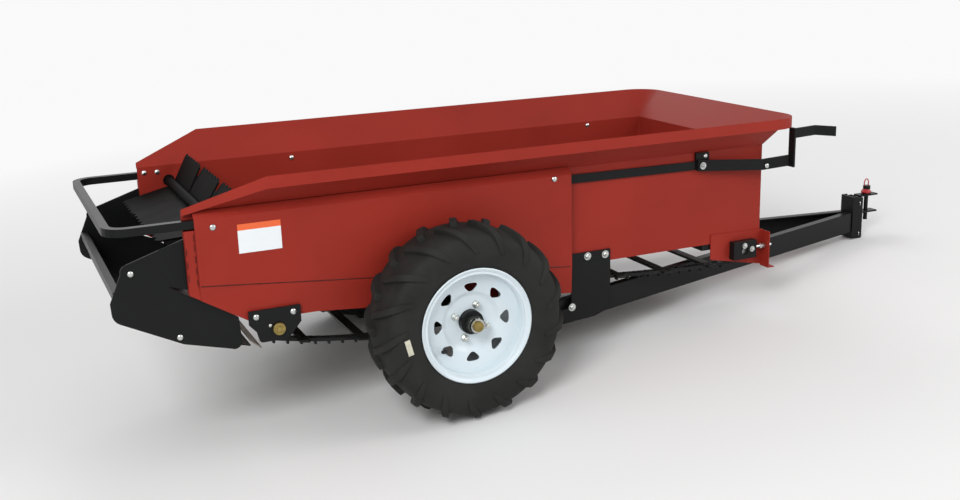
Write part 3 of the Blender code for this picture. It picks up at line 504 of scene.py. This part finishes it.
# ---------------------------------------------------------------- apron chain
CHAIN_Y = 0.322
CHAIN_PITCH = 0.0405
CHAIN_THICK = 0.012
SLAT_WIDTH = 0.032
SLAT_THICK = 0.008
SLAT_REACH = 0.352
SLATS = 9
SHAFT_Z = 0.311
SPROCKET_R = 0.0478
REAR_SHAFT_X = -0.515
FRONT_SHAFT_X = 1.060
REST_X, REST_Z = 0.420, 0.288
SAG_REAR, SAG_FRONT = 0.064, 0.010


def lower_line():
    """Middle line of the return run: shaft, middle crossmember, front shaft, with a sag between each two."""
    z = SHAFT_Z - SPROCKET_R - CHAIN_THICK / 2
    rest_z = REST_Z + CHAIN_THICK / 2
    spans = ((REAR_SHAFT_X, z, REST_X, rest_z, SAG_REAR), (REST_X, rest_z, FRONT_SHAFT_X, z, SAG_FRONT))
    points = []
    for x0, z0, x1, z1, depth in spans:
        for share in np.linspace(0, 1, 24, endpoint=False):
            points.append((x0 + (x1 - x0) * share, z0 + (z1 - z0) * share - depth * 4 * share * (1 - share)))
    return points + [(FRONT_SHAFT_X, z)]


def upper_line():
    z = SHAFT_Z + SPROCKET_R + CHAIN_THICK / 2
    return [(REAR_SHAFT_X, z), (FRONT_SHAFT_X, z)]


def along_line(line, reach):
    """Point and direction at a distance along a polyline."""
    for a, b in zip(line, line[1:]):
        length = math.dist(a, b)
        if reach <= length:
            break
        reach -= length
    t = min(1.0, reach / length)
    return ((a[0] + (b[0] - a[0]) * t, a[1] + (b[1] - a[1]) * t),
            ((b[0] - a[0]) / length, (b[1] - a[1]) / length))


def add_box(bm, middle, forward, half_long, half_wide, half_high):
    """A bar lying along `forward` (x, z), `half_wide` across the machine."""
    ahead = Vector((forward[0], 0, forward[1]))
    up = Vector((-forward[1], 0, forward[0]))
    wide = Vector((0, 1, 0))
    skin(bm, [[Vector(middle) + ahead * half_long * a + wide * half_wide * w + up * half_high * h
               for w, h in ((-1, -1), (1, -1), (1, 1), (-1, 1))] for a in (-1, 1)])


def build_apron(name, line, hook_side):
    """Links with side bars, a cross barrel and a hook, and flat slats across both strands."""
    total = sum(math.dist(a, b) for a, b in zip(line, line[1:]))
    links = bmesh.new()
    count = int(total / CHAIN_PITCH)
    for i in range(count):
        (x, z), forward = along_line(line, (i + 0.5) * total / count)
        normal = (-forward[1], forward[0])
        for strand in (-1, 1):
            y = strand * CHAIN_Y
            for bar in (-1, 1):
                add_box(links, (x, y + bar * 0.0110, z), forward, 0.0215, 0.0022, 0.0050)
            nose = Vector((x + forward[0] * 0.0170, y, z + forward[1] * 0.0170))
            prism(links, nose - Vector((0, 0.0135, 0)), (0, 1, 0), 0.0058, 0.0270, 12)
            tail = Vector((x - forward[0] * 0.0150, y, z - forward[1] * 0.0150))
            prism(links, tail - Vector((0, 0.0090, 0)), (0, 1, 0), 0.0042, 0.0180, 10)
            hook = (tail.x + normal[0] * hook_side * 0.0095, y, tail.z + normal[1] * hook_side * 0.0095)
            add_box(links, hook, forward, 0.0035, 0.0060, 0.0062)
    piece(f"{name}_chain", links, CHAIN, round_off=0.0008)
    slats = bmesh.new()
    for i in range(SLATS):
        (x, z), forward = along_line(line, (i + 0.5) * total / SLATS)
        add_box(slats, (x, 0, z), forward, SLAT_WIDTH / 2, SLAT_REACH, SLAT_THICK / 2)
    bars = piece(f"{name}_slats", slats, CHAIN, round_off=0.0015)
    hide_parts(f"apron_{name}_run")


for side_name, side_sign in SIDES.items():
    for build in (build_tyre, build_rim, build_hub_fittings, build_bolts, build_label, build_crease_shade_and_welds):
        build(side_name, side_sign)
build_tyre_tag()
build_lever_bolts()
build_hitch_bolts()
build_pin_handle()
build_apron("upper", upper_line(), 1)
build_apron("lower", lower_line(), -1)


# ---------------------------------------------------------------- camera, floor and light
CAMERA_AT = Vector((-1.2345, -3.3824, 1.3272))
YAW, PITCH, ROLL = (math.radians(a) for a in (65.843, -15.078, -1.718))
FOCAL_WIDTHS = 1.1971
PALE = 0.95
WORLD_LIGHT = 0.48
FADE_START = 1.9
FADE_END = 5.0


def add_camera():
    ahead = Vector((math.cos(PITCH) * math.cos(YAW), math.cos(PITCH) * math.sin(YAW), math.sin(PITCH)))
    right = Vector((math.sin(YAW), -math.cos(YAW), 0))
    up = right.cross(ahead)
    rolled_right = right * math.cos(ROLL) + up * math.sin(ROLL)
    rolled_up = up * math.cos(ROLL) - right * math.sin(ROLL)
    turned = Matrix((rolled_right, rolled_up, -ahead)).transposed().to_4x4()
    data = bpy.data.cameras.new("camera")
    data.sensor_width = 36
    data.lens = data.sensor_width * FOCAL_WIDTHS
    made = bpy.data.objects.new("camera", data)
    made.matrix_world = parked @ Matrix.Translation(CAMERA_AT) @ turned
    bpy.context.collection.objects.link(made)
    bpy.context.scene.camera = made


def floor_look():
    """Pale floor near the machine, shading off into the white backdrop far from it."""
    made = surface("studio_floor", (0.86, 0.86, 0.86), 0.8, shade=0.985, patch=0.6, bump=0.0, reflect=0.1)
    nodes, links = made.node_tree.nodes, made.node_tree.links
    place = nodes.new("ShaderNodeTexCoord")
    reach = nodes.new("ShaderNodeVectorMath")
    reach.operation = "LENGTH"
    links.new(place.outputs["Object"], reach.inputs[0])
    fade = nodes.new("ShaderNodeMapRange")
    fade.inputs["From Min"].default_value = FADE_START
    fade.inputs["From Max"].default_value = FADE_END
    links.new(reach.outputs["Value"], fade.inputs["Value"])
    ray = nodes.new("ShaderNodeLightPath")
    seen = nodes.new("ShaderNodeMath")
    seen.operation = "MULTIPLY"
    links.new(fade.outputs["Result"], seen.inputs[0])
    links.new(ray.outputs["Is Camera Ray"], seen.inputs[1])
    glow = nodes.new("ShaderNodeEmission")
    glow.inputs["Color"].default_value = (PALE, PALE, PALE, 1)
    mix = nodes.new("ShaderNodeMixShader")
    links.new(seen.outputs["Value"], mix.inputs["Fac"])
    links.new(nodes["Principled BSDF"].outputs["BSDF"], mix.inputs[1])
    links.new(glow.outputs["Emission"], mix.inputs[2])
    links.new(mix.outputs["Shader"], nodes["Material Output"].inputs["Surface"])
    return made


def add_floor():
    bm = bmesh.new()
    bmesh.ops.create_grid(bm, x_segments=1, y_segments=1, size=60)
    mesh = bpy.data.meshes.new("floor")
    bm.to_mesh(mesh)
    bm.free()
    mesh.materials.append(floor_look())
    made = bpy.data.objects.new("floor", mesh)
    bpy.context.collection.objects.link(made)


def add_world():
    """Soft light all round, which the camera and mirrors see as the white backdrop."""
    world = bpy.data.worlds.new("studio")
    world.use_nodes = True
    nodes, links = world.node_tree.nodes, world.node_tree.links
    light = nodes["Background"]
    light.inputs["Color"].default_value = (1, 1, 1, 1)
    light.inputs["Strength"].default_value = WORLD_LIGHT
    white = nodes.new("ShaderNodeBackground")
    white.inputs["Color"].default_value = (PALE, PALE, PALE, 1)
    ray = nodes.new("ShaderNodeLightPath")
    seen = nodes.new("ShaderNodeMath")
    seen.operation = "MAXIMUM"
    links.new(ray.outputs["Is Camera Ray"], seen.inputs[0])
    links.new(ray.outputs["Is Glossy Ray"], seen.inputs[1])
    mix = nodes.new("ShaderNodeMixShader")
    links.new(seen.outputs["Value"], mix.inputs["Fac"])
    links.new(light.outputs["Background"], mix.inputs[1])
    links.new(white.outputs["Background"], mix.inputs[2])
    links.new(mix.outputs["Shader"], nodes["World Output"].inputs["Surface"])
    bpy.context.scene.world = world


def add_light(name, place, aim, size, watts):
    data = bpy.data.lights.new(name, "AREA")
    data.shape = "DISK"
    data.size = size
    data.energy = watts
    made = bpy.data.objects.new(name, data)
    made.location = place
    made.rotation_euler = (Vector(aim) - Vector(place)).to_track_quat("-Z", "Y").to_euler()
    bpy.context.collection.objects.link(made)


add_camera()
add_floor()
add_light("key", (-3.0, -4.0, 4.2), (0.4, 0, 0.4), 2.6, 215)
add_light("fill", (4.5, -3.5, 2.8), (0.6, 0, 0.4), 3.0, 95)
add_light("back", (1.0, 4.5, 4.0), (0.4, 0, 0.5), 3.0, 70)
add_world()
bpy.context.scene.view_settings.view_transform = "Standard"
